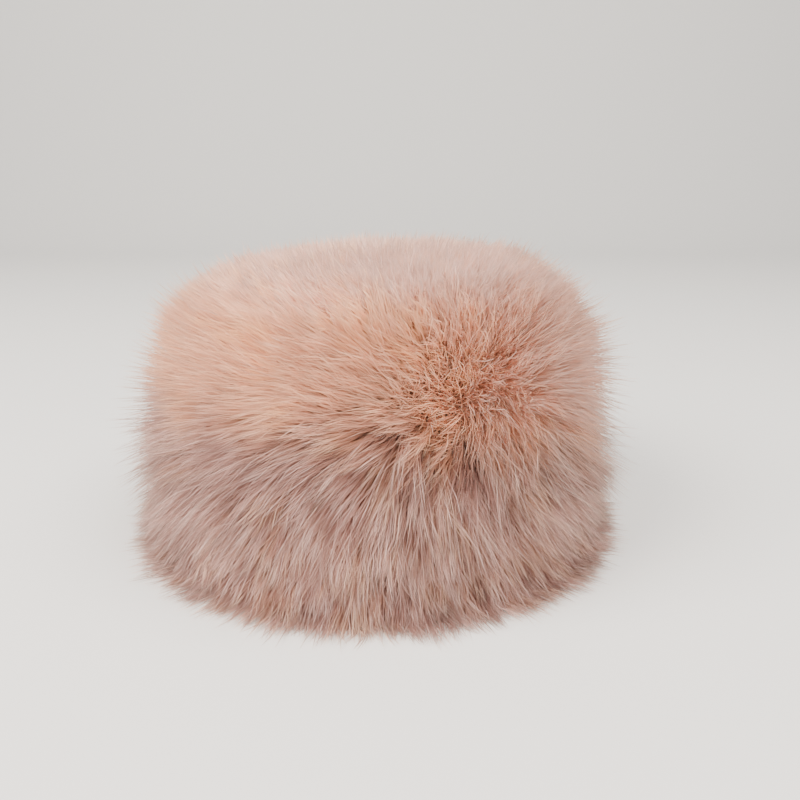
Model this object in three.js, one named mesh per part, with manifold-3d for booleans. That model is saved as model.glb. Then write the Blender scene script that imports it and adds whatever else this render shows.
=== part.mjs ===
// A faux fur bucket hat at its real size, in millimetres, standing on its brim: +Z is up, the front faces -Y,
// and the origin lies on the surface it stands on, under the middle of the hat.
//
// The hat is sewn from three panels of deep pile cloth: a round crown top, an upright crown side and a short,
// steep brim. Each panel is one solid, a thin wall of backing cloth with its pile fused to it as locks.
import * as THREE from "three";
import { mergeVertices } from "three/addons/utils/BufferGeometryUtils.js";
import Module from "manifold-3d";

// Where the head goes in
const headLength = 188;
const headWidth = 182;

// The cloth, and the slit that is left along each seam
const clothThickness = 2.5;
const seamGap = 0.3;

// The crown, from the brim seam to the flat of its top
const crownDepth = 84;
const crownTaper = 8;
const crownCorner = 18;
const topRise = 5;
const crownLean = 7;

// The brim, from the brim seam to its hem
const brimDrop = 56;
const brimFlare = 23;

// The pile. Each lock grows out of the cloth, leans over and ends in a point.
const topPile = 31;
const sidePile = 45;
const brimPile = 45;
const lockPitch = 28;
const lockWidth = 24;

// Facets, and the finest detail that is kept
const sidesRound = 40;
const lockSides = 4;
const lockRings = 3;
const cornerSteps = 4;
const domeSteps = 2;
const finest = 0.1;

const upright = Math.PI / 2;
const seamHeight = brimDrop;
const topHeight = brimDrop + crownDepth;
const topSeamTurn = upright / 2;
const furReach = Math.max(topPile, sidePile, brimPile) * 2;
const openRadius = headLength / 2 + clothThickness;

// The brim's curve from its hem to the brim seam, as shares of its drop and its flare
const brimShape = [
  { drop: 1.0, flare: 1.0 },
  { drop: 0.72, flare: 0.78 },
  { drop: 0.36, flare: 0.36 },
  { drop: 0.0, flare: 0.0 },
];

// Rows of locks on each panel. "along" is the share of the way from its lower to its upper edge, "length"
// the share of the pile, and "fall" how far the tips drop below the way in which the roots stand.
const brimRows = [
  { along: 0.16, length: 0.84, fall: 0.5 },
  { along: 0.5, length: 0.96, fall: 0.5 },
  { along: 0.84, length: 1.04, fall: 0.44 },
];
const sideRows = [
  { along: 0.1, length: 1.04, fall: 0.3 },
  { along: 0.38, length: 1.02, fall: 0.34 },
  { along: 0.66, length: 0.98, fall: 0.24 },
  { along: 0.92, length: 0.96, fall: 0.44 },
];
const topRows = [
  { along: 0.07, length: 1.16, fall: 0.6 },
  { along: 0.38, length: 1.04, fall: 0.36 },
  { along: 0.7, length: 1.0, fall: 0.1 },
];

// How the nap is brushed: round the hat towards the wearer's right, and on the top outwards from its middle
const sideSweep = { root: 0.25, tip: 0.55 };
const topSpread = { root: 0.3, tip: 0.85 };

const colours = { top: 0xd9b3a6, side: 0xc9a399, brim: 0xc59f96 };

const wasm = await Module();
wasm.setup();

// How much the locks of a row differ: in place as a share of the pitch, in length and in the way they lie
const placeScatter = 0.12;
const lengthScatter = 0.07;
const sweepScatter = 0.12;
const spreadScatter = 0.2;

// A repeatable number from -1 to 1 for the lock at this place in this row
function scatter(row, place) {
  const wave = Math.sin(row * 127.1 + place * 311.7) * 43758.5453;
  return 2 * (wave - Math.floor(wave)) - 1;
}

// The outer side of the cloth as one line from the hem to the middle of the top: how far out and how high
function outerLine() {
  const line = brimShape.map(
    ({ drop, flare }) => new THREE.Vector2(openRadius + brimFlare * flare, brimDrop * (1 - drop)),
  );
  const cornerFoot = topHeight - crownCorner;
  const middle = new THREE.Vector2(openRadius - crownTaper / 2, (seamHeight + cornerFoot) / 2);
  line.push(middle);
  for (let step = 0; step <= cornerSteps; step += 1) {
    const turn = (upright * step) / cornerSteps;
    line.push(
      new THREE.Vector2(
        openRadius - crownTaper - crownCorner * (1 - Math.cos(turn)),
        cornerFoot + crownCorner * Math.sin(turn),
      ),
    );
  }
  const flatRadius = openRadius - crownTaper - crownCorner;
  for (let step = 1; step <= domeSteps; step += 1) {
    const share = 1 - step / domeSteps;
    line.push(new THREE.Vector2(flatRadius * share, topHeight + topRise * (1 - share * share)));
  }
  return line;
}

// The way out of the cloth at each point of a line
function outwardOf(line) {
  return line.map((point, index) => {
    if (point.x === 0) return new THREE.Vector2(0, 1);
    const before = line[Math.max(index - 1, 0)];
    const after = line[Math.min(index + 1, line.length - 1)];
    const along = after.clone().sub(before).normalize();
    return new THREE.Vector2(along.y, -along.x);
  });
}

const outer = outerLine();
const outward = outwardOf(outer);

// The inner side of the cloth, one thickness in, with the hem cut level
const inner = outer.map((point, index) => {
  const moved = point.clone().addScaledVector(outward[index], -clothThickness);
  if (index === 0) moved.y = 0;
  return moved;
});

// Moves a point that was turned round the axis to its place in the hat: the head opening is an oval, and the
// crown leans so that its top is higher on one side
function toHat(point) {
  const radius = Math.hypot(point.x, point.y);
  const oval = radius > 0 ? (headWidth - headLength) / 2 / Math.max(radius, headLength / 2) : 0;
  const height = THREE.MathUtils.clamp((point.z - seamHeight) / crownDepth, 0, 1);
  const lean = (crownLean / 2) * height * THREE.MathUtils.clamp(point.x / openRadius, -1, 1);
  point.x += point.x * oval;
  point.z += lean;
  return point;
}

// A closed geometry as a solid, with only its positions kept
function solidOf(geometry) {
  const bare = new THREE.BufferGeometry();
  bare.setAttribute("position", geometry.getAttribute("position"));
  bare.setIndex(geometry.index);
  const merged = mergeVertices(bare, 1e-3);
  const corners = merged.index.array;
  const faces = [];
  for (let index = 0; index < corners.length; index += 3) {
    const [a, b, c] = corners.subarray(index, index + 3);
    if (a !== b && b !== c && c !== a) faces.push(a, b, c);
  }
  const mesh = new wasm.Mesh({
    numProp: 3,
    vertProperties: new Float32Array(merged.getAttribute("position").array),
    triVerts: new Uint32Array(faces),
  });
  return new wasm.Manifold(mesh);
}

// Changes every vertex of a geometry
function reshape(geometry, change) {
  const position = geometry.getAttribute("position");
  const point = new THREE.Vector3();
  for (let index = 0; index < position.count; index += 1) {
    change(point.fromBufferAttribute(position, index));
    position.setXYZ(index, point.x, point.y, point.z);
  }
  return geometry;
}

// Turns a line round the axis, from this angle on, and shapes it as the hat
function turned(line, from) {
  const lathe = new THREE.LatheGeometry(line, sidesRound, from);
  lathe.rotateX(upright);
  return solidOf(reshape(lathe, toHat));
}

const cloth = turned([...outer, ...inner.toReversed(), outer[0]], 0);

// The two seams, in the middle of the cloth
const seamCorner = crownCorner - clothThickness / 2;
const brimSeam = new THREE.Vector2(openRadius - clothThickness / 2, seamHeight);
const topSeam = new THREE.Vector2(
  openRadius - crownTaper - crownCorner + seamCorner * Math.cos(topSeamTurn),
  topHeight - crownCorner + seamCorner * Math.sin(topSeamTurn),
);

// The piles of two panels meet along a surface that leaves the seam and rises by this much for each step out
const brimSeamRise = -0.45;
const topSeamRise = 0.25;
const furEdge = openRadius + brimFlare + furReach;

// The surface where two panels meet, a line from the axis through the seam and out past the pile, shifted up
// or down by half of the slit
function partingLine({ seam, rise }, side) {
  const height = seam.y + side * (seamGap / 2) * Math.hypot(1, rise);
  return [
    new THREE.Vector2(0, height),
    new THREE.Vector2(seam.x, height),
    new THREE.Vector2(furEdge, height + rise * (furEdge - seam.x)),
  ];
}

const brimParting = { seam: brimSeam, rise: brimSeamRise };
const topParting = { seam: topSeam, rise: topSeamRise };
const roof = topHeight + furReach * 2;
const cellar = -furReach * 2;

// The room that each panel and its pile may fill, as a line to turn round the axis
const rooms = {
  brim: [
    new THREE.Vector2(0, cellar),
    new THREE.Vector2(furEdge, cellar),
    ...partingLine(brimParting, -1).toReversed(),
  ],
  side: [...partingLine(brimParting, 1), ...partingLine(topParting, -1).toReversed()],
  top: [...partingLine(topParting, 1), new THREE.Vector2(furEdge, roof), new THREE.Vector2(0, roof)],
};

// The rooms are turned by half a facet, so that none of their edges meets an edge of the cloth
const halfFacet = Math.PI / sidesRound;

// Nothing of the hat is lower than the surface it stands on
const aboveFloor = turned(
  [
    new THREE.Vector2(0, 0),
    new THREE.Vector2(furEdge, 0),
    new THREE.Vector2(furEdge, roof),
    new THREE.Vector2(0, roof),
  ],
  halfFacet,
);

// Where a share of the way along a stretch of the outer line lies, and the way out of the cloth there
function pointAlong(stretch, share) {
  const lengths = [0];
  for (let index = stretch.from; index < stretch.to; index += 1) {
    lengths.push(lengths[lengths.length - 1] + outer[index].distanceTo(outer[index + 1]));
  }
  const wanted = share * lengths[lengths.length - 1];
  let step = 0;
  while (step < lengths.length - 2 && lengths[step + 1] < wanted) step += 1;
  const part = (wanted - lengths[step]) / (lengths[step + 1] - lengths[step]);
  const index = stretch.from + step;
  return {
    at: outer[index].clone().lerp(outer[index + 1], part),
    out: outward[index].clone().lerp(outward[index + 1], part).normalize(),
  };
}

// One lock of pile: a cone that is bent along a curve, wide where it leaves the cloth and pointed at its tip.
// Its root lies inside the cloth.
function lockOf({ root, out, start, end, length, width }) {
  const curve = new THREE.QuadraticBezierCurve3(
    root,
    root.clone().addScaledVector(start, length / 2),
    root
      .clone()
      .addScaledVector(start, length / 2)
      .addScaledVector(end, length / 2),
  );
  const cone = new THREE.ConeGeometry(1, 1, lockSides, lockRings);
  cone.translate(0, 0.5, 0);
  return solidOf(
    reshape(cone, (point) => {
      const share = point.y;
      const turn = Math.atan2(point.z, point.x);
      const onAxis = Math.hypot(point.x, point.z) < 1e-6;
      const facing = share < 1e-6 ? out : curve.getTangent(share);
      const side = new THREE.Vector3().crossVectors(facing, new THREE.Vector3(0, 0, 1));
      if (side.length() < 1e-3) side.set(1, 0, 0);
      side.normalize();
      const across = new THREE.Vector3().crossVectors(side, facing);
      const radius = onAxis ? 0 : (width / 2) * (1 - share ** 1.6);
      point
        .copy(curve.getPoint(share))
        .addScaledVector(side, radius * Math.cos(turn))
        .addScaledVector(across, radius * Math.sin(turn));
    }),
  );
}

// The locks of one panel, row by row. Each row holds as many as fit round it a pitch apart, and every other
// row is turned by half a pitch.
function locksOn({ rows, stretch, pile, brush, seed }) {
  const locks = [];
  rows.forEach((row, rowIndex) => {
    const { at, out } = pointAlong(stretch, row.along);
    const count = Math.max(5, Math.round((2 * Math.PI * at.x) / lockPitch));
    for (let place = 0; place < count; place += 1) {
      const chance = scatter(seed + rowIndex, place);
      const turn = (2 * Math.PI * (place + (rowIndex % 2) / 2 + chance * placeScatter)) / count;
      const away = new THREE.Vector3(Math.cos(turn), Math.sin(turn), 0);
      const round = new THREE.Vector3(Math.sin(turn), -Math.cos(turn), 0);
      const normal = away.clone().multiplyScalar(out.x);
      normal.z = out.y;
      const root = away.clone().multiplyScalar(at.x);
      root.z = at.y;
      toHat(root).addScaledVector(normal, -clothThickness * 0.6);
      const { start, end } = brush({ normal, away, round, row, chance });
      locks.push(
        lockOf({
          root,
          out: normal,
          start,
          end,
          length: pile * row.length * (1 + lengthScatter * chance),
          width: lockWidth * Math.min(1, (2 * Math.PI * at.x) / (count * lockPitch)),
        }),
      );
    }
  });
  return locks;
}

// On the side and the brim the pile leans round the hat, and its tips fall
function brushRound({ normal, round, row, chance }) {
  const start = normal.clone().addScaledVector(round, sideSweep.root);
  start.z -= row.fall * 0.5;
  const end = normal.clone().addScaledVector(round, sideSweep.tip + sweepScatter * chance);
  end.z -= row.fall * 1.5;
  return { start: start.normalize(), end: end.normalize() };
}

// On the top it spreads from the middle
function brushOut({ normal, away, round, row, chance }) {
  const start = normal.clone().addScaledVector(away, topSpread.root);
  const end = normal
    .clone()
    .addScaledVector(away, topSpread.tip + spreadScatter * chance)
    .addScaledVector(round, sideSweep.root);
  end.z -= row.fall;
  return { start: start.normalize(), end: end.normalize() };
}

// The stretches of the outer line that the three panels take
const brimEnd = brimShape.length - 1;
const cornerMiddle = brimEnd + 2 + cornerSteps / 2;
const stretches = {
  brim: { from: 0, to: brimEnd },
  side: { from: brimEnd, to: cornerMiddle },
  top: { from: cornerMiddle, to: outer.length - 1 },
};

// The lock that stands in the middle of the top
function middleLock() {
  const root = toHat(new THREE.Vector3(0, 0, topHeight + topRise - clothThickness * 0.6));
  const straightUp = new THREE.Vector3(0, 0, 1);
  const aside = new THREE.Vector3(-0.5, -0.6, 1).normalize();
  return lockOf({ root, out: straightUp, start: straightUp, end: aside, length: topPile, width: lockWidth });
}

// A panel: its part of the cloth with its locks, trimmed to its own room
function panelOf(room, locks) {
  const space = turned(room, halfFacet).intersect(aboveFloor);
  const panel = wasm.Manifold.union([cloth, ...locks]).intersect(space);
  return panel.asOriginal().simplify(finest);
}

function geometryOf(solid) {
  const { vertProperties, triVerts, numProp, numVert } = solid.getMesh();
  const positions = new Float32Array(numVert * 3);
  for (let index = 0; index < numVert; index += 1) {
    positions.set(vertProperties.subarray(index * numProp, index * numProp + 3), index * 3);
  }
  const geometry = new THREE.BufferGeometry();
  geometry.setAttribute("position", new THREE.BufferAttribute(positions, 3));
  geometry.setIndex(new THREE.BufferAttribute(new Uint32Array(triVerts), 1));
  geometry.computeVertexNormals();
  return geometry;
}

function meshOf(name, solid, color) {
  const material = new THREE.MeshStandardMaterial({ color, roughness: 0.95, metalness: 0 });
  const mesh = new THREE.Mesh(geometryOf(solid), material);
  mesh.name = name;
  return mesh;
}

const hat = new THREE.Group();
hat.name = "fur_bucket_hat";
hat.add(
  meshOf(
    "crown_top",
    panelOf(rooms.top, [
      ...locksOn({ rows: topRows, stretch: stretches.top, pile: topPile, brush: brushOut, seed: 31 }),
      middleLock(),
    ]),
    colours.top,
  ),
);
hat.add(
  meshOf(
    "crown_side",
    panelOf(
      rooms.side,
      locksOn({ rows: sideRows, stretch: stretches.side, pile: sidePile, brush: brushRound, seed: 11 }),
    ),
    colours.side,
  ),
);
hat.add(
  meshOf(
    "brim",
    panelOf(
      rooms.brim,
      locksOn({ rows: brimRows, stretch: stretches.brim, pile: brimPile, brush: brushRound, seed: 1 }),
    ),
    colours.brim,
  ),
);

// The origin lies under the middle of the whole hat, pile included
const middle = new THREE.Box3().setFromObject(hat).getCenter(new THREE.Vector3());
for (const panel of hat.children) panel.geometry.translate(-middle.x, -middle.y, 0);

export default hat;
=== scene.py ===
import math

import bmesh
import bpy
import numpy as np
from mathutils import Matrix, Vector, kdtree, noise


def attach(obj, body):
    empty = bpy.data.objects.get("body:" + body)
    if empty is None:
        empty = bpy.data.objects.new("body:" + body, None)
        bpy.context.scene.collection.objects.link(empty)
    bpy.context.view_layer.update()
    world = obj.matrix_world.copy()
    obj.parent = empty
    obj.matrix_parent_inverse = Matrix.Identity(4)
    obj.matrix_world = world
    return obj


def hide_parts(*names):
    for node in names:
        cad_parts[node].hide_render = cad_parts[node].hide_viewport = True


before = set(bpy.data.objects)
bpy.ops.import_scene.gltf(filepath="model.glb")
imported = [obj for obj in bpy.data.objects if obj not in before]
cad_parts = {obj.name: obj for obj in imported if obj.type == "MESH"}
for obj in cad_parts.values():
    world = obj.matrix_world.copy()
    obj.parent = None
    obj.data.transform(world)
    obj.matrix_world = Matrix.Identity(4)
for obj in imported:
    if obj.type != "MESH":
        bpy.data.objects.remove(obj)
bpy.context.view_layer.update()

mm = 0.001
degree = math.pi / 180

# the camera

camera = {
    "focal": 802,  # pixels of the 800 pixel frame
    "frame": 800,
    "sensor": 36,
    "clipStart": 10 * mm,
    "distance": 473 * mm,  # from the hat's axis, along the floor
    "aside": 15.6 * mm,  # the hat stands a little left of the middle of the frame
    "height": 214.6 * mm,
    "pitch": 16.8 * degree,
}


def addCamera(values):
    data = bpy.data.cameras.new("camera")
    data.sensor_width = values["sensor"]
    data.lens = values["sensor"] * values["focal"] / values["frame"]
    data.clip_start = values["clipStart"]
    piece = bpy.data.objects.new("camera", data)
    piece.location = (values["aside"], -values["distance"], values["height"])
    piece.rotation_euler = (math.pi / 2 - values["pitch"], 0, 0)
    bpy.context.scene.collection.objects.link(piece)
    bpy.context.scene.camera = piece


addCamera(camera)
print("camera set")

# the line of the backing cloth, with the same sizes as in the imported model

cloth = {
    "headLength": 188 * mm,
    "headWidth": 182 * mm,
    "thickness": 2.5 * mm,
    "crownDepth": 84 * mm,
    "crownTaper": 8 * mm,
    "taperCurve": 1.2,  # above 1, the wall leans in more the higher it gets
    "crownCorner": 18 * mm,
    "topRise": 5 * mm,
    "crownLean": 7 * mm,
    "brimDrop": 56 * mm,
    "brimFlare": 23 * mm,
    "aside": (0.8 * mm, -0.72 * mm),  # the cloth's axis lies this far off the middle of the pile
}
openRadius = cloth["headLength"] / 2 + cloth["thickness"]
topHeight = cloth["brimDrop"] + cloth["crownDepth"]
brimShape = [  # shares of the drop and of the flare, from the hem up
    {"drop": 1.0, "flare": 1.0},
    {"drop": 0.72, "flare": 0.78},
    {"drop": 0.36, "flare": 0.36},
    {"drop": 0.0, "flare": 0.0},
]
lineSteps = {"brim": 23, "side": 19, "corner": 15, "dome": 19}  # how finely each stretch is drawn


def smoothSteps(knots, values, at):  # a curve through the values with no kinks at the knots
    slopes = np.gradient(values, knots)
    index = np.clip(np.searchsorted(knots, at) - 1, 0, len(knots) - 2)
    width = knots[index + 1] - knots[index]
    t = (at - knots[index]) / width
    level = values[index] * (2 * t**3 - 3 * t**2 + 1) + values[index + 1] * (3 * t**2 - 2 * t**3)
    bend = slopes[index] * (t**3 - 2 * t**2 + t) + slopes[index + 1] * (t**3 - t**2)
    return level + bend * width


def outerLine():  # how far out and how high, from the hem to the middle of the top
    share = np.linspace(0, 1, lineSteps["brim"] + 1)
    drops = np.array([1 - row["drop"] for row in brimShape])
    flares = np.array([row["flare"] for row in brimShape])
    brimOut = openRadius + cloth["brimFlare"] * smoothSteps(drops, flares, share)
    brim = np.column_stack([brimOut, cloth["brimDrop"] * share])
    foot = topHeight - cloth["crownCorner"]
    rise = np.linspace(0, 1, lineSteps["side"] + 1)[1:]
    sideOut = openRadius - cloth["crownTaper"] * rise ** cloth["taperCurve"]
    side = np.column_stack([sideOut, cloth["brimDrop"] + (foot - cloth["brimDrop"]) * rise])
    turn = np.linspace(0, math.pi / 2, lineSteps["corner"] + 1)[1:]
    flat = openRadius - cloth["crownTaper"] - cloth["crownCorner"]
    cornerOut = flat + cloth["crownCorner"] * np.cos(turn)
    corner = np.column_stack([cornerOut, foot + cloth["crownCorner"] * np.sin(turn)])
    share = np.linspace(1, 0, lineSteps["dome"] + 1)[1:]
    dome = np.column_stack([flat * share, topHeight + cloth["topRise"] * (1 - share**2)])
    return np.vstack([brim, side, corner, dome])


line = outerLine()
lengths = np.concatenate([[0], np.cumsum(np.linalg.norm(np.diff(line, axis=0), axis=1))])
slope = np.gradient(line, lengths, axis=0)
slope /= np.linalg.norm(slope, axis=1)[:, None]
outward = np.column_stack([slope[:, 1], -slope[:, 0]])
outward[-1] = (0, 1)
brimEnd = lineSteps["brim"]
sideEnd = brimEnd + lineSteps["side"]
cornerEnd = sideEnd + lineSteps["corner"]
places = {  # lengths along the line
    "hem": 0.0,
    "brimSeam": lengths[brimEnd],
    "cornerFoot": lengths[sideEnd],
    "topSeam": (lengths[sideEnd] + lengths[cornerEnd]) / 2,
    "flat": lengths[cornerEnd],
    "middle": lengths[-1],
}


def toHat(points):  # the oval of the head opening, the lean of the crown and the place in the frame
    radius = np.maximum(np.hypot(points[..., 0], points[..., 1]), cloth["headLength"] / 2)
    oval = (cloth["headWidth"] - cloth["headLength"]) / 2 / radius
    height = np.clip((points[..., 2] - cloth["brimDrop"]) / cloth["crownDepth"], 0, 1)
    lean = cloth["crownLean"] / 2 * height * np.clip(points[..., 0] / openRadius, -1, 1)
    placed = points.copy()
    placed[..., 0] += points[..., 0] * oval + cloth["aside"][0]
    placed[..., 1] += cloth["aside"][1]
    placed[..., 2] += lean
    return placed


def unit(vectors):
    return vectors / np.maximum(np.linalg.norm(vectors, axis=-1, keepdims=True), 1e-12)


def lineAt(at):  # points of the outer line, with the way out of the cloth there
    points = np.column_stack([np.interp(at, lengths, line[:, axis]) for axis in (0, 1)])
    ways = np.column_stack([np.interp(at, lengths, outward[:, axis]) for axis in (0, 1)])
    return points, unit(ways)


def addPiece(name, node, data):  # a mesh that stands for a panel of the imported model
    piece = bpy.data.objects.new(name, data)
    bpy.context.scene.collection.objects.link(piece)
    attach(piece, "root")
    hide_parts(node)


# the two classes that every material is written with


class Wire:  # a node's socket, on which sums and products add Math nodes
    def __init__(self, sheet, socket):
        self.sheet = sheet
        self.socket = socket

    def maths(self, operation, first, second):
        return self.sheet.add("ShaderNodeMath", {"operation": operation}, {0: first, 1: second})

    def __add__(self, other):
        return self.maths("ADD", self, other)

    def __radd__(self, other):
        return self.maths("ADD", other, self)

    def __sub__(self, other):
        return self.maths("SUBTRACT", self, other)

    def __rsub__(self, other):
        return self.maths("SUBTRACT", other, self)

    def __mul__(self, other):
        return self.maths("MULTIPLY", self, other)

    def __rmul__(self, other):
        return self.maths("MULTIPLY", other, self)


class Sheet:  # the nodes of one material
    def __init__(self, name):
        self.material = bpy.data.materials.new(name)
        self.material.use_nodes = True
        self.tree = self.material.node_tree
        self.tree.nodes.clear()

    def add(self, kind, settings=None, sockets=None, output=0):
        node = self.tree.nodes.new(kind)
        for key, value in (settings or {}).items():
            if key == "stops":
                self.fillRamp(node.color_ramp, value)
            else:
                setattr(node, key, value)
        for key, value in (sockets or {}).items():
            if isinstance(value, Wire):
                self.tree.links.new(value.socket, node.inputs[key])
            else:
                node.inputs[key].default_value = value
        return Wire(self, node.outputs[output]) if len(node.outputs) else None

    def fillRamp(self, ramp, stops):
        while len(ramp.elements) < len(stops):
            ramp.elements.new(0.5)
        for element, (place, colour) in zip(ramp.elements, stops):
            element.position = place
            element.color = rgba(colour)

    def place(self):
        return self.add("ShaderNodeTexCoord", output="Object")

    def cloudy(self, place, scale, detail):
        return self.add("ShaderNodeTexNoise", {}, {"Vector": place, "Scale": scale, "Detail": detail})

    def split(self, vector):
        first = self.add("ShaderNodeSeparateXYZ", {}, {0: vector})
        return [Wire(self, output) for output in first.socket.node.outputs]

    def clamped(self, value, low, high):  # 0 up to low, 1 from high on
        return self.add("ShaderNodeMapRange", {"clamp": True}, {0: value, 1: low, 2: high})

    def blend(self, share, first, second, way="MIX"):
        return self.add(
            "ShaderNodeMix",
            {"data_type": "RGBA", "blend_type": way, "clamp_factor": True},
            {0: share, 6: first, 7: second},
            output=2,
        )

    def tinted(self, colour, tint):
        return self.blend(1.0, colour, tint, "MULTIPLY")

    def finish(self, shader):
        self.add("ShaderNodeOutputMaterial", {}, {"Surface": shader})
        return self.material


def rgba(colour):
    return (*colour, 1)


# the backing cloth of the three panels

backingColours = {
    "outside": (0.62, 0.42, 0.34),
    "outsideDark": 0.6,  # the dark flecks outside, against the colour there
    "outsideGrain": 700.0,  # flecks in a metre
    "outsideFlecks": (0.3, 0.7),
    "outsideRoughness": 0.95,
    "inside": (0.62, 0.46, 0.41),
    "fleck": (0.52, 0.37, 0.32),
    "insideGrain": 900.0,
    "insideFlecks": (0.35, 0.65),
    "insideRoughness": 0.9,
    "stitch": 1.6 * mm,  # the knit's stitches
    "stitchHeight": 0.3,  # against the height of the flecks
    "relief": 0.3 * mm,
    "reliefStrength": 0.5,
    "detail": 3.0,
}


def backingMaterial(name, values):  # the knit that shows inside the hat
    sheet = Sheet(name)
    place = sheet.place()
    x, y, z = sheet.split(place)
    turn = sheet.add("ShaderNodeMath", {"operation": "ARCTAN2"}, {0: y, 1: x})
    ribs = openRadius * 2 * math.pi / values["stitch"]
    rib = sheet.add("ShaderNodeMath", {"operation": "SINE"}, {0: turn * ribs})
    course = sheet.add("ShaderNodeMath", {"operation": "SINE"}, {0: z * (2 * math.pi / values["stitch"])})
    fleck = sheet.cloudy(place, values["insideGrain"], values["detail"])
    spots = sheet.clamped(fleck, *values["insideFlecks"])
    colour = sheet.blend(spots, rgba(values["fleck"]), rgba(values["inside"]))
    height = rib * values["stitchHeight"] + course * values["stitchHeight"] + fleck
    relief = {"Strength": values["reliefStrength"], "Distance": values["relief"], "Height": height}
    bump = sheet.add("ShaderNodeBump", {}, relief)
    finish = {"Base Color": colour, "Roughness": values["insideRoughness"], "Normal": bump}
    return sheet.finish(sheet.add("ShaderNodeBsdfPrincipled", {}, finish))


def rootMaterial(name, values):  # the cloth between the roots of the pile
    sheet = Sheet(name)
    fleck = sheet.cloudy(sheet.place(), values["outsideGrain"], values["detail"])
    dark = tuple(values["outsideDark"] * part for part in values["outside"])
    spots = sheet.clamped(fleck, *values["outsideFlecks"])
    colour = sheet.blend(spots, rgba(dark), rgba(values["outside"]))
    finish = {"Base Color": colour, "Roughness": values["outsideRoughness"]}
    return sheet.finish(sheet.add("ShaderNodeBsdfPrincipled", {}, finish))


backing = {
    "sides": 120,
    "slit": 0.3 * mm,  # between two panels, at their seam
    "rows": {"brim": 14, "crown_side": 16, "crown_top": 18},
    "merge": 0.02 * mm,  # corners that lie closer than this become one
}


def addBacking(node, low, high):
    points, ways = lineAt(np.linspace(low, high, backing["rows"][node]))
    inner = points - ways * cloth["thickness"]
    if low == places["hem"]:
        inner[0, 1] = 0  # the hem is cut level
    toMiddle = high == places["middle"]
    if toMiddle:
        points[-1, 0] = 0
        inner[-1, 0] = 0
    mesh = bmesh.new()
    ring = [mesh.verts.new((x, 0, z)) for x, z in np.vstack([points, inner[::-1]])]
    edges = [mesh.edges.new(pair) for pair in zip(ring, ring[1:])]
    if not toMiddle:  # so the top's cut edge, deep in the pile, stays open
        edges.append(mesh.edges.new((ring[-1], ring[0])))
    bmesh.ops.spin(
        mesh,
        geom=ring + edges,
        cent=(0, 0, 0),
        axis=(0, 0, 1),
        angle=2 * math.pi,
        steps=backing["sides"],
        use_merge=True,
    )
    bmesh.ops.remove_doubles(mesh, verts=mesh.verts, dist=backing["merge"])
    bmesh.ops.recalc_face_normals(mesh, faces=mesh.faces)
    for vert in mesh.verts:
        vert.co = Vector(toHat(np.array(vert.co)))
    for face in mesh.faces:
        centre = face.calc_center_median()
        away = Vector((centre.x, centre.y, max(centre.z - cloth["brimDrop"], 0)))
        face.material_index = 0 if face.normal.dot(away) > 0 else 1
        face.smooth = True
    data = bpy.data.meshes.new(node + "_backing")
    data.materials.append(rootFinish)
    data.materials.append(backingFinish)
    mesh.to_mesh(data)
    mesh.free()
    addPiece(node + "_backing", node, data)


rootFinish = rootMaterial("pile_root", backingColours)
backingFinish = backingMaterial("backing_knit", backingColours)
halfSlit = backing["slit"] / 2
addBacking("brim", places["hem"], places["brimSeam"] - halfSlit)
addBacking("crown_side", places["brimSeam"] + halfSlit, places["topSeam"] - halfSlit)
addBacking("crown_top", places["topSeam"] + halfSlit, places["middle"])
print("backing made")

# the pile

furColours = {
    "rootShaded": (0.36, 0.215, 0.18),  # the root of a strand, on the hat's lower and upper half: the fur's own darker roots, darkened further by painted shade on the lower half and lightened by painted light on the upper
    "rootLit": (1.0, 0.91, 0.90),
    "rootEnd": 0.5,  # the share of a strand over which the root's colour fades
    "rootLater": 0.3,  # how much later it fades on the upper half, so the painted light reaches deeper into the pile
    "lower": (0.62, 0.41, 0.34),  # the strand itself, from its foot to its frosted tip
    "body": (0.80, 0.555, 0.465),
    "tip": (0.99, 0.845, 0.775),
    "stops": (0.35, 0.78, 1.0),  # where these three stand along it
    "strandFrost": 0.18,  # how unlike single strands are in where the frost begins
    "wispFrost": 0.36,
    "dusty": (1.0, 0.86, 0.80),  # tints of the colour above, on top, on the wall and below: they paint light and shade, a paler painted light on top, warm painted light on the wall and painted shade below
    "peachLight": (0.92, 0.62, 0.43),
    "mauveShade": (0.455, 0.35, 0.365),
    # the heights where the painted shade turns into painted warm light, and where that turns into the paler
    # painted light on top
    "shadeToLightHeight": (76 * mm, 104 * mm),
    "topLightHeight": (140 * mm, 168 * mm),
    "wander": 34 * mm,  # how far the border between the painted shade (mauve) and the painted warm light (peach) wanders up and down
    "topLightWander": 0.3,  # the border between the painted warm light and the paler painted light on top wanders by this share of it
    "rightSide": (20 * mm, 120 * mm),  # over this width the painted warm light comes to reach lower
    "rightDrop": 30 * mm,
    "dustyTips": (0.7, 1.1),  # the part of a strand where its tip turns from the mauve painted shade to dusty pink
    "dustyTipShare": 0.7,
    "dustyTipWarm": 0.62,  # by how much less on the upper half
    "beige": (1.0, 0.95, 0.74),  # the tint of the palest tufts
    "beigeTufts": (0.64, 0.90),
    "beigePatch": 1.1,
    "beigeShare": 0.8,
    "patchSize": 45 * mm,
    "patchDetail": 2.0,
    "mottleSize": 15 * mm,
    "mottleDetail": 3.0,
    "mottle": 1.5,  # how much darker the dark patches of the lower half are
    "mottleLess": 0.6,  # by how much less on the upper half
    "mottleMiddle": 0.56,
    "shade": 0.72,  # the darkest strand, and what its own number, its wisp's and its tuft's add
    "strandShade": 0.10,
    "wispShade": 0.25,
    "tuftShade": 0.24,
    "hemHeight": 60 * mm,  # from here down the pile is darkened by painted shade
    "hemReach": 50 * mm,
    "hemPaintedShade": 0.13,
    "roughness": 0.7,
    "specular": 0.3,
    "sheen": 0.2,
    "sheenRoughness": 0.5,
    "sheenTint": (1.0, 0.9, 0.86),
    "glow": (0.95, 0.73, 0.635),  # light that comes through the strands
    "glowShare": 0.42,
}


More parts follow.
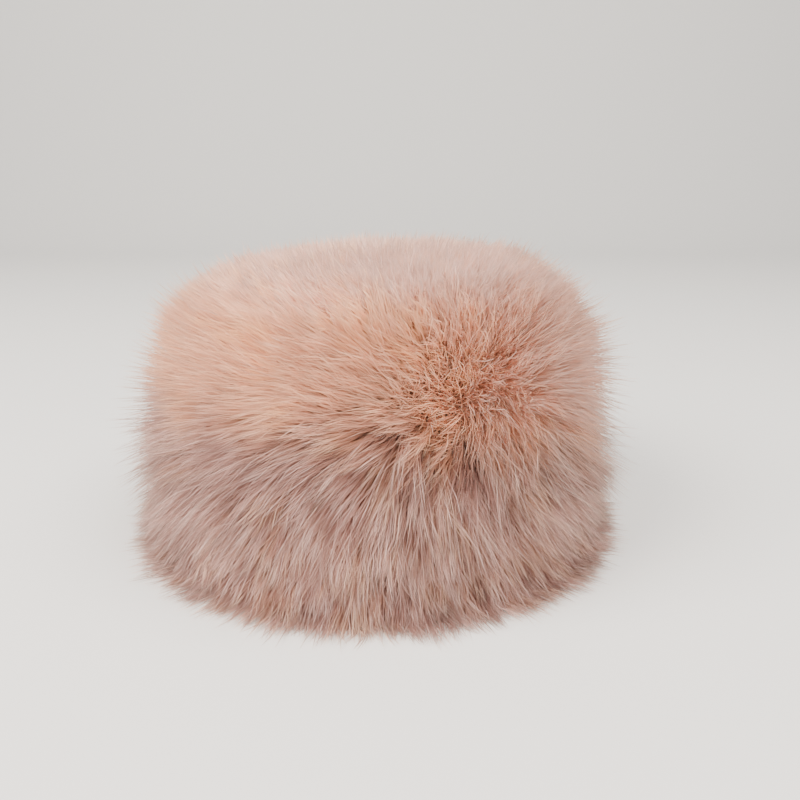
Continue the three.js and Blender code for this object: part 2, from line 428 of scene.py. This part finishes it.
def furMaterial(name, values):
    sheet = Sheet(name)
    along, strand, _ = sheet.split(sheet.add("ShaderNodeUVMap", {"uv_map": "Strand"}))
    wisp, tuft, _ = sheet.split(sheet.add("ShaderNodeUVMap", {"uv_map": "Tuft"}))
    place = sheet.place()
    right, _, height = sheet.split(place)
    patches = sheet.cloudy(place, 1 / values["patchSize"], values["patchDetail"]) - 0.5
    mottle = sheet.cloudy(place, 1 / values["mottleSize"], values["mottleDetail"])
    # 0 on the lower half of the hat, which is painted in shade, and 1 on the upper, which is painted in warm
    # light
    wander = patches * values["wander"]
    lightLowerOnRight = sheet.clamped(right, *values["rightSide"]) * values["rightDrop"]
    paintedLight = sheet.clamped(height + wander + lightLowerOnRight, *values["shadeToLightHeight"])
    # the colour along a strand
    frost = along + (strand - 0.5) * values["strandFrost"] + (wisp - 0.5) * values["wispFrost"]
    stops = list(zip(values["stops"], [values[key] for key in ("lower", "body", "tip")]))
    colour = sheet.add("ShaderNodeValToRGB", {"stops": stops}, {0: frost})
    # the roots' colour, with painted shade on the lower half and painted light on the upper
    root = sheet.blend(paintedLight, rgba(values["rootShaded"]), rgba(values["rootLit"]))
    fromRoot = sheet.clamped(frost - paintedLight * values["rootLater"], 0.0, values["rootEnd"])
    colour = sheet.blend(fromRoot, root, colour)
    # its tint by height, which paints the light: painted shade below, painted warm light on the wall and a
    # paler painted light on top
    tint = sheet.blend(paintedLight, rgba(values["mauveShade"]), rgba(values["peachLight"]))
    high = sheet.clamped(height + wander * values["topLightWander"], *values["topLightHeight"])
    tint = sheet.blend(high, tint, rgba(values["dusty"]))
    tips = sheet.clamped(frost, *values["dustyTips"])
    tips = tips * (values["dustyTipShare"] - paintedLight * values["dustyTipWarm"])
    tint = sheet.blend(tips, tint, rgba(values["dusty"]))
    colour = sheet.tinted(colour, tint)
    beige = sheet.clamped(tuft + patches * values["beigePatch"], *values["beigeTufts"])
    beigeColour = sheet.tinted(colour, rgba(values["beige"]))
    colour = sheet.blend(beige * values["beigeShare"], colour, beigeColour)
    # how light it is: its own tone, less a painted shade near the hem
    low = 1 - paintedLight * values["mottleLess"]
    # painted shade that darkens the pile towards the hem
    hem = sheet.clamped(values["hemHeight"] - height, 0.0, values["hemReach"]) * values["hemPaintedShade"]
    shade = values["shade"] + strand * values["strandShade"] + wisp * values["wispShade"]
    shade = shade + tuft * values["tuftShade"] - hem
    shade = shade + (mottle - values["mottleMiddle"]) * (low * values["mottle"])
    grey = sheet.add("ShaderNodeCombineXYZ", {}, {0: shade, 1: shade, 2: shade})
    finish = {
        "Base Color": sheet.tinted(colour, grey),
        "Roughness": values["roughness"],
        "Specular IOR Level": values["specular"],
        "Sheen Weight": values["sheen"],
        "Sheen Roughness": values["sheenRoughness"],
        "Sheen Tint": rgba(values["sheenTint"]),
    }
    shader = sheet.add("ShaderNodeBsdfPrincipled", {}, finish)
    glow = sheet.add("ShaderNodeBsdfTranslucent", {}, {"Color": rgba(values["glow"])})
    return sheet.finish(sheet.add("ShaderNodeMixShader", {}, {0: values["glowShare"], 1: shader, 2: glow}))


pile = {
    "strands": {"crown_top": 37000, "crown_side": 78000, "brim": 74000},
    "shares": (0.0, 0.44, 0.76, 1.0),  # where the points of a strand lie along it
    "rootJitter": 0.4 * mm,
    "leastRise": 0.12,  # how far out of the cloth a tip points at least
    "swingAt": -56 * degree,  # where on the hat the nap table's swing is greatest
    "drift": 22 * degree,  # the nap wanders by this much from patch to patch
    "driftSize": 21 * mm,
    "driftSeed": 4,  # without one, Blender's noise differs from run to run
    "wispPitch": 2.6 * mm,
    "tuftPitch": 8.0 * mm,
    "wispHold": 0.62,  # how far the tips of a wisp are drawn together
    "tuftHold": 0.27,
    "holdCurve": 1.1,  # above 1, they are drawn together more the nearer the tip
    "groupJitter": 0.12,  # how far off its even place a wisp or tuft is, against its pitch
    "groupRagged": 0.07,
    "strandStray": 5.0 * degree,
    "wispStray": 15.0 * degree,
    "tuftStray": 13.0 * degree,
    "rootStray": 0.5,  # a root strays by this share of what its tip does
    "shortest": 0.45,
    "woolShare": 0.3,  # short, unruly strands that fill the pile
    "woolStretch": (0.42, 0.74),
    "woolStray": 14 * degree,
    "woolHold": 0.4,
    "looseShare": 0.035,  # long strands that hardly keep to their wisp
    "looseStretch": 1.12,
    "looseStray": 13 * degree,
    "looseHold": 0.25,
    "wave": 0.35 * mm,
    "waveTurn": 9,  # how far the wave runs on along a strand, as an angle
    "wispWave": 1.7 * mm,
    "wispWaveTurn": 5,
    "wispWaveStarts": (1, 7),  # so that a wisp's two waves, round the hat and out of it, differ
    "waveOut": 0.5,  # the wave out of the cloth, against the wave along it
    "floorGap": 0.6 * mm,  # the lowest strands are lifted this far off the floor
    "floorSpread": 3 * mm,
    "floorSlide": 0.35,  # and pushed out by this share of the lift
    "rootWidth": 0.66 * mm,
    "tipWidth": 0.17 * mm,
    "taper": 1.8,  # above 1, a strand keeps its width longer
    "thinnest": 0.8,
    "widthSpread": 0.4,
    "roll": 62 * degree,  # how far a ribbon turns about its strand, at most
    "facingStray": 0.15,
    "ownNormal": 0.35,  # the shading goes by the ribbon's own face this much
    "clothNormal": 0.75,  # and by the cloth's this much
    "leastNormal": 0.2,
    "bakeMargin": (0.1, 0.05),  # round a strand in its cell of the bake map
    "seed": 7,
}
# The nap. "along" counts 1 for the brim, 1 for the wall, 1 for the corner and 1 for the top, from the hem up.
# "rise" is how many degrees the tips point up, "sweep" how many they are brushed round the hat, clockwise from
# above, and "swing" how many more at the front's right. "length" is in millimetres, "ragged" is how unlike the
# strands are in it, and "tilt" how much longer they are on the side at "tiltAt". "stand" is how straight the
# roots stand on the cloth, and "hold" how well the wisps keep together.
napColumns = ("along", "rise", "sweep", "swing", "length", "ragged", "tilt", "tiltAt", "stand", "hold")
napRows = [
    (0.0, -56, 4, -12, 39, 0.30, 0.04, -110, 0.55, 1.0),
    (0.5, -51, 6, -8, 46, 0.27, 0.07, 170, 0.62, 1.0),
    (1.0, -44, 11, 6, 63, 0.28, 0.01, 0, 0.62, 1.0),
    (1.4, -18, 27, 18, 62, 0.28, 0.03, 0, 0.62, 0.75),
    (1.65, 20, 35, 16, 57, 0.25, 0.07, 0, 0.6, 0.55),
    (2.0, 38, 34, 14, 47, 0.22, 0.02, 180, 0.6, 0.6),
    (2.5, 44, 32, 10, 32, 0.17, 0.0, 0, 0.6, 0.75),
    (3.0, 46, 30, 5, 27.5, 0.17, 0.0, 0, 0.6, 0.8),
    (4.0, 75, 25, 0, 27, 0.17, 0.0, 0, 0.6, 0.8),
]
spread = {
    "steps": (0.7548776662466927, 0.5698402909980532),  # added over and over, they fill a square evenly
    "strandStart": 0.5,
    "groupStart": 0.31,
    "finePoints": 400,
}
shares = np.array(pile["shares"])


def napAt(at):
    knots = [places[name] for name in ("hem", "brimSeam", "cornerFoot", "flat", "middle")]
    along = np.interp(at, knots, range(len(knots)))
    table = np.array(napRows, dtype=float)
    return {key: np.interp(along, table[:, 0], table[:, column]) for column, key in enumerate(napColumns)}


def fineRings(low, high):  # close places along the line, and the cloth between them for a turn of 1
    fine = np.linspace(low, high, spread["finePoints"])
    radius = np.interp(fine, lengths, line[:, 0])
    return fine, (radius[1:] + radius[:-1]) / 2 * np.diff(fine)


def clothArea(low, high):
    return 2 * math.pi * np.sum(fineRings(low, high)[1])


def spreadRoots(low, high, count, start):  # even places on the cloth: how far along the line, and the turn
    fine, rings = fineRings(low, high)
    area = np.concatenate([[0], np.cumsum(rings)])
    number = np.arange(count)
    share = (start + number * spread["steps"][0]) % 1
    turn = (start + number * spread["steps"][1]) % 1
    return np.interp(share * area[-1], area, fine), turn * 2 * math.pi


def rootsAt(at, turn):  # roots on the cloth, and three ways there: out of it, level out and round the hat
    points, ways = lineAt(at)
    level = np.column_stack([np.cos(turn), np.sin(turn), np.zeros_like(turn)])
    around = np.column_stack([np.sin(turn), -np.cos(turn), np.zeros_like(turn)])
    roots = level * points[:, :1]
    roots[:, 2] = points[:, 1]
    normal = level * ways[:, :1]
    normal[:, 2] = ways[:, 1]
    return roots, normal, level, around


def combed(at, turn, stray, stretch):  # strands: roots, the ways there and at the tips, and lengths
    roots, normal, level, around = rootsAt(at, turn)
    local = napAt(at)
    drift = np.array([noise.noise_vector(Vector(root / pile["driftSize"])) for root in roots])
    rise = local["rise"] * degree + drift[:, 0] * pile["drift"]
    swing = local["swing"] * np.cos(turn - pile["swingAt"])
    sweep = (local["sweep"] + swing) * degree + drift[:, 1] * pile["drift"]
    flat = level * np.cos(sweep)[:, None] + around * np.sin(sweep)[:, None]
    tip = flat * np.cos(rise)[:, None]
    tip[:, 2] += np.sin(rise)
    tip = unit(tip + stray)
    under = np.minimum(np.sum(tip * normal, axis=1, keepdims=True) - pile["leastRise"], 0)
    tip = unit(tip - normal * under)  # never into the cloth
    stand = local["stand"][:, None]
    start = unit(normal * stand + tip * (1 - stand) + stray * pile["rootStray"])
    tilt = 1 + local["tilt"] * np.cos(turn - local["tiltAt"] * degree)
    length = local["length"] * mm * tilt * stretch
    return {"root": roots, "start": start, "tip": tip, "length": length, "normal": normal}


def bent(strands, length, share):  # a point of each strand, at this share of its length
    half = (length / 2)[:, None]
    return strands["root"] + half * (strands["start"] * (2 * share - share**2) + strands["tip"] * share**2)


def nearest(centres, points):
    tree = kdtree.KDTree(len(centres))
    for index, centre in enumerate(centres):
        tree.insert(centre, index)
    tree.balance()
    return np.array([tree.find(point)[1] for point in points])


def gathered(key, low, high, roots, random):  # for each root, the guide and the number of its wisp or tuft
    pitch = pile[key + "Pitch"]
    count = int(clothArea(low, high) / pitch**2)
    at, turn = spreadRoots(low, high, count, spread["groupStart"])
    at = np.clip(at + random.normal(0, pile["groupJitter"] * pitch, count), low, high)
    stray = random.normal(0, pile[key + "Stray"], (count, 3))
    guides = combed(at, turn, stray, 1 + random.normal(0, pile["groupRagged"], count))
    member = nearest(guides["root"], roots)
    guide = {part: values[member] for part, values in guides.items()}
    return {"hold": pile[key + "Hold"], "guide": guide, "number": random.random(count)[member]}


def strandLines(low, high, count, random):  # the points of each strand, the way out at its root, its numbers
    at, turn = spreadRoots(low, high, count, spread["strandStart"])
    at = np.clip(at + random.normal(0, pile["rootJitter"], count), low, high)
    chance = random.random(count)
    loose = chance < pile["looseShare"]
    wool = chance > 1 - pile["woolShare"]
    strayBy = np.where(loose, pile["looseStray"], np.where(wool, pile["woolStray"], pile["strandStray"]))
    stray = random.normal(0, 1, (count, 3)) * strayBy[:, None]
    local = napAt(at)
    stretch = np.clip(1 - np.abs(random.normal(0, local["ragged"])), pile["shortest"], 1.0)
    stretch = np.where(wool, random.uniform(*pile["woolStretch"], count), stretch)
    stretch = np.where(loose, pile["looseStretch"], stretch)
    hold = np.where(loose, pile["looseHold"], np.where(wool, pile["woolHold"], 1.0)) * local["hold"]
    own = combed(at, turn, stray, stretch)
    groups = {key: gathered(key, low, high, own["root"], random) for key in ("wisp", "tuft")}
    phase = random.random((count, 2)) * 2 * math.pi
    wispPhase = groups["wisp"]["number"][:, None] * 2 * math.pi * np.array(pile["wispWaveStarts"])
    side = unit(np.cross(own["start"], own["normal"]) + 1e-6)
    points = np.empty((count, len(shares), 3))
    for index, share in enumerate(shares):
        point = bent(own, own["length"], share)
        for group in groups.values():
            length = group["guide"]["length"] * np.minimum(stretch, 1.0)
            towards = bent(group["guide"], length, share) - point
            point = point + towards * (hold * group["hold"] * share ** pile["holdCurve"])[:, None]
        wave = pile["wave"] * share * np.sin(phase + share * pile["waveTurn"])
        wave = wave + pile["wispWave"] * share * np.sin(wispPhase + share * pile["wispWaveTurn"])
        points[:, index] = point + side * wave[:, :1] + own["normal"] * wave[:, 1:] * pile["waveOut"]
    floor = pile["floorGap"] + random.random(count)[:, None] * pile["floorSpread"] * (shares > 0)
    under = np.maximum(floor - points[..., 2], 0)
    points[..., :2] += unit(points[..., :2]) * (under * pile["floorSlide"])[..., None]
    points[..., 2] += under
    numbers = {"strand": random.random(count)}
    numbers.update({key: group["number"] for key, group in groups.items()})
    return points, own["normal"], numbers


def ribbonSides(points, normal, random):  # the way along each ribbon, and from its middle to its edge
    count = len(points)
    tangent = unit(np.gradient(points, axis=1))
    chord = unit(points[:, -1] - points[:, 0])
    facing = unit(normal + random.normal(0, pile["facingStray"], normal.shape))
    across = unit(np.cross(chord, facing))
    roll = (random.random(count) * 2 - 1)[:, None] * pile["roll"]
    across = unit(across * np.cos(roll) + np.cross(chord, across) * np.sin(roll))
    taper = pile["rootWidth"] + (pile["tipWidth"] - pile["rootWidth"]) * shares[None, :] ** pile["taper"]
    width = taper * (pile["thinnest"] + pile["widthSpread"] * random.random(count))[:, None]
    side = across[:, None, :] - tangent * np.sum(across[:, None, :] * tangent, axis=-1, keepdims=True)
    return tangent, unit(side) * (width / 2)[..., None]


def atCorners(left, right, middle):  # two corners at each point of a ribbon but the last, which is its tip
    body = np.stack([left[:, :-1], right[:, :-1]], axis=2).reshape(len(left), -1, 3)
    return np.concatenate([body, middle[:, -1:]], axis=1)


def ribbonFaces():  # quads up to the tip, where there is a triangle
    last = 2 * len(shares) - 2
    quads = [(2 * k, 2 * k + 1, 2 * k + 3, 2 * k + 2) for k in range(len(shares) - 2)]
    return quads + [(last - 2, last - 1, last)]


def softNormals(side, tangent, turned, normal):
    own = unit(np.cross(side, tangent)) * np.where(turned, -1, 1)[:, None, None]
    soft = unit(own * pile["ownNormal"] + normal[:, None, :] * pile["clothNormal"])
    against = np.minimum(np.sum(soft * own, axis=-1, keepdims=True) - pile["leastNormal"], 0)
    return unit(soft - own * against)  # never behind its own face


def addMaps(data, order, numbers):  # what the material reads of each strand, and its cell to bake in
    count, corners = order.shape
    along = np.concatenate([np.repeat(shares[:-1], 2), shares[-1:]])[order]
    across = np.concatenate([np.tile([0.0, 1.0], len(shares) - 1), [0.5]])[order]
    own = {key: np.repeat(values[:, None], corners, 1) for key, values in numbers.items()}
    cells = math.ceil(math.sqrt(count))
    column = (np.arange(count) % cells)[:, None]
    row = (np.arange(count) // cells)[:, None]
    beside, below = pile["bakeMargin"]
    inColumn = (column + beside + (1 - 2 * beside) * across) / cells
    inRow = (row + below + (1 - 2 * below) * along) / cells
    maps = {
        "Strand": (along, own["strand"]),
        "Tuft": (own["wisp"], own["tuft"]),
        "OFBake": (inColumn, inRow),
    }
    for name, pair in maps.items():
        layer = data.uv_layers.new(name=name)
        layer.data.foreach_set("uv", np.stack(pair, axis=-1).reshape(-1).astype(np.float32))


def ribbonMesh(name, points, normal, numbers, random):
    tangent, side = ribbonSides(points, normal, random)
    corners = atCorners(points - side, points + side, points)
    count, perStrand = corners.shape[:2]
    faces = ribbonFaces()
    turned = np.sum(np.cross(side[:, 0], tangent[:, 0]) * normal, axis=1) < 0  # faces look out of the pile
    forward = np.concatenate(faces)
    backward = np.concatenate([face[::-1] for face in faces])
    order = np.where(turned[:, None], backward, forward)
    loops = (order + (np.arange(count) * perStrand)[:, None]).ravel()
    sizes = np.tile([len(face) for face in faces], count)
    data = bpy.data.meshes.new(name)
    data.vertices.add(count * perStrand)
    data.vertices.foreach_set("co", corners.reshape(-1).astype(np.float32))
    data.loops.add(len(loops))
    data.loops.foreach_set("vertex_index", loops.astype(np.int32))
    data.polygons.add(len(sizes))
    data.polygons.foreach_set("loop_start", np.concatenate([[0], np.cumsum(sizes)[:-1]]).astype(np.int32))
    data.polygons.foreach_set("use_smooth", np.ones(len(sizes), bool))
    data.update(calc_edges=True)
    addMaps(data, order, numbers)
    soft = softNormals(side, tangent, turned, normal)
    soft = atCorners(soft, soft, soft)
    data.normals_split_custom_set_from_vertices(soft.reshape(-1, 3).astype(np.float32))
    return data


def addFur(node, low, high, pieces):
    name = node + "_fur"
    random = np.random.default_rng(pile["seed"] + len(name))
    points, normal, numbers = strandLines(low, high, pile["strands"][node], random)
    turn = np.arctan2(points[:, 0, 1], points[:, 0, 0])
    sector = np.floor((turn + math.pi) / (2 * math.pi) * pieces).astype(int) % pieces
    points = toHat(points)
    for part in range(pieces):
        chosen = sector == part
        chosenNumbers = {key: values[chosen] for key, values in numbers.items()}
        pieceName = name if pieces == 1 else f"{name}_{part + 1}"
        data = ribbonMesh(pieceName, points[chosen], normal[chosen], chosenNumbers, random)
        data.materials.append(furFinish)
        addPiece(pieceName, node, data)
        print(pieceName, int(chosen.sum()), "strands")


noise.seed_set(pile["driftSeed"])
furFinish = furMaterial("faux_fur", furColours)
addFur("crown_top", places["topSeam"], places["middle"], 1)
addFur("crown_side", places["brimSeam"], places["topSeam"], 2)
addFur("brim", places["hem"], places["brimSeam"], 2)
print("pile made")

# the stage and the lights

stage = {
    "floor": (0.78, 0.77, 0.75),
    "roughness": 0.8,
    "size": 4.0,
    "bend": 0.6,
    "bendSegments": 12,
    "world": (0.9, 0.885, 0.865),
    "worldStrength": 0.78,
    "lightsAim": (0, 0, 0.08),
}
lights = [
    {"name": "key", "at": (-1.1, -0.6, 1.45), "size": 1.2, "power": 60, "colour": (1.0, 0.935, 0.87)},
    {"name": "back", "at": (0.6, -0.3, 1.6), "size": 1.2, "power": 33, "colour": (1.0, 0.945, 0.89)},
    {"name": "fill", "at": (0.0, -1.55, 0.6), "size": 1.0, "power": 23, "colour": (1.0, 0.97, 0.93)},
]


def addStage(values):  # a floor that bends up into a wall behind the hat
    mesh = bmesh.new()
    half = values["size"] / 2
    bmesh.ops.create_grid(mesh, x_segments=1, y_segments=1, size=half)
    far = [edge for edge in mesh.edges if all(vert.co.y > 0 for vert in edge.verts)]
    raised = bmesh.ops.extrude_edge_only(mesh, edges=far)
    bmesh.ops.translate(
        mesh,
        verts=[part for part in raised["geom"] if isinstance(part, bmesh.types.BMVert)],
        vec=(0, 0, half),
    )
    bmesh.ops.bevel(
        mesh,
        geom=[edge for edge in mesh.edges if len(edge.link_faces) == 2],
        offset=values["bend"],
        offset_type="OFFSET",
        segments=values["bendSegments"],
        profile=0.5,
        affect="EDGES",
        material=-1,
    )
    bmesh.ops.recalc_face_normals(mesh, faces=mesh.faces)
    data = bpy.data.meshes.new("floor")
    mesh.to_mesh(data)
    mesh.free()
    sheet = Sheet("floor_pale")
    finish = {"Base Color": rgba(values["floor"]), "Roughness": values["roughness"]}
    data.materials.append(sheet.finish(sheet.add("ShaderNodeBsdfPrincipled", {}, finish)))
    for face in data.polygons:
        face.use_smooth = True
    floor = bpy.data.objects.new("floor", data)
    bpy.context.scene.collection.objects.link(floor)


def addLight(values, aim):
    data = bpy.data.lights.new(values["name"], "AREA")
    data.shape = "DISK"
    data.size = values["size"]
    data.energy = values["power"]
    data.color = values["colour"]
    piece = bpy.data.objects.new(values["name"], data)
    piece.location = values["at"]
    piece.rotation_euler = (Vector(aim) - piece.location).to_track_quat("-Z", "Y").to_euler()
    bpy.context.scene.collection.objects.link(piece)


def addWorld(values):
    world = bpy.data.worlds.new("studio")
    world.use_nodes = True
    background = world.node_tree.nodes["Background"]
    background.inputs["Color"].default_value = rgba(values["world"])
    background.inputs["Strength"].default_value = values["worldStrength"]
    bpy.context.scene.world = world


addStage(stage)
for values in lights:
    addLight(values, stage["lightsAim"])
addWorld(stage)
print("stage set")
